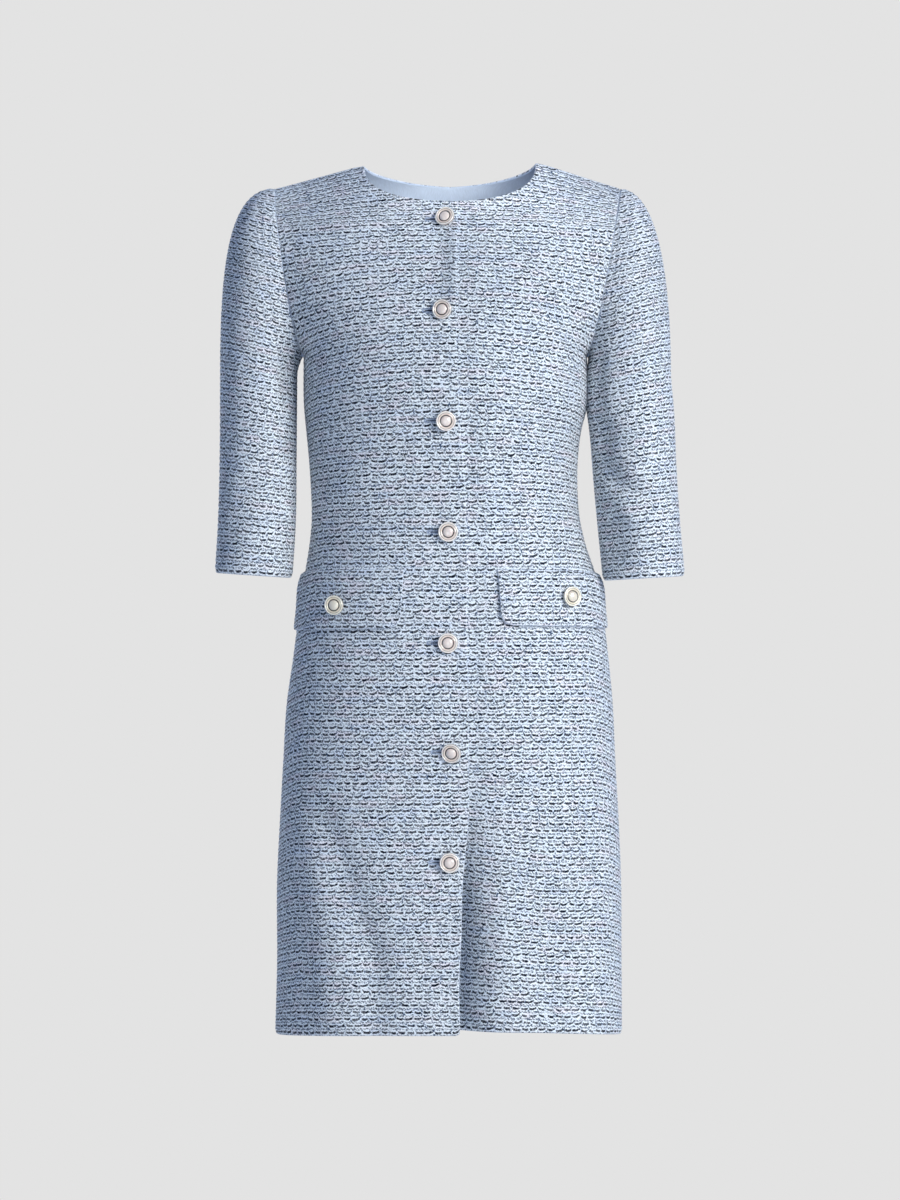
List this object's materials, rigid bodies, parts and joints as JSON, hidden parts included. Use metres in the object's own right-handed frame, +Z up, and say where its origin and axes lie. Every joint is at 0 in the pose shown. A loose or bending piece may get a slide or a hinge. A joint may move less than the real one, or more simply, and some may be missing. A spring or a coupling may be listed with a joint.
{
  "type": "sheath dress",
  "caption": "Knitted sheath dress with a round neck, three-quarter sleeves, a full button placket and two pocket flaps, filled out as worn.",
  "frame": {"origin": "midway between the two points where the shoulder seams meet the neck, where the wearer's shoulders carry the dress", "axes": "+Z up, the front faces -Y, +X towards the wearer's left side"},
  "size_m": [0.4922, 0.238, 0.9152],
  "materials": {
    "knit": "pale blue and white tweed knit with rows of short navy dashes",
    "facing": "plain pale blue, smooth",
    "pearl": "pearl"
  },
  "bodies": {
    "root": {"front_right": "knit", "front_left": "knit", "back": "knit", "sleeve_right": "knit", "sleeve_left": "knit", "pocket_flap_right": "knit", "pocket_flap_left": "knit", "back_neck_facing": "facing", "placket_button_1": "pearl", "placket_button_2": "pearl", "placket_button_3": "pearl", "placket_button_4": "pearl", "placket_button_5": "pearl", "placket_button_6": "pearl", "placket_button_7": "pearl", "flap_button_right": "pearl", "flap_button_left": "pearl"}
  },
  "joints": []
}
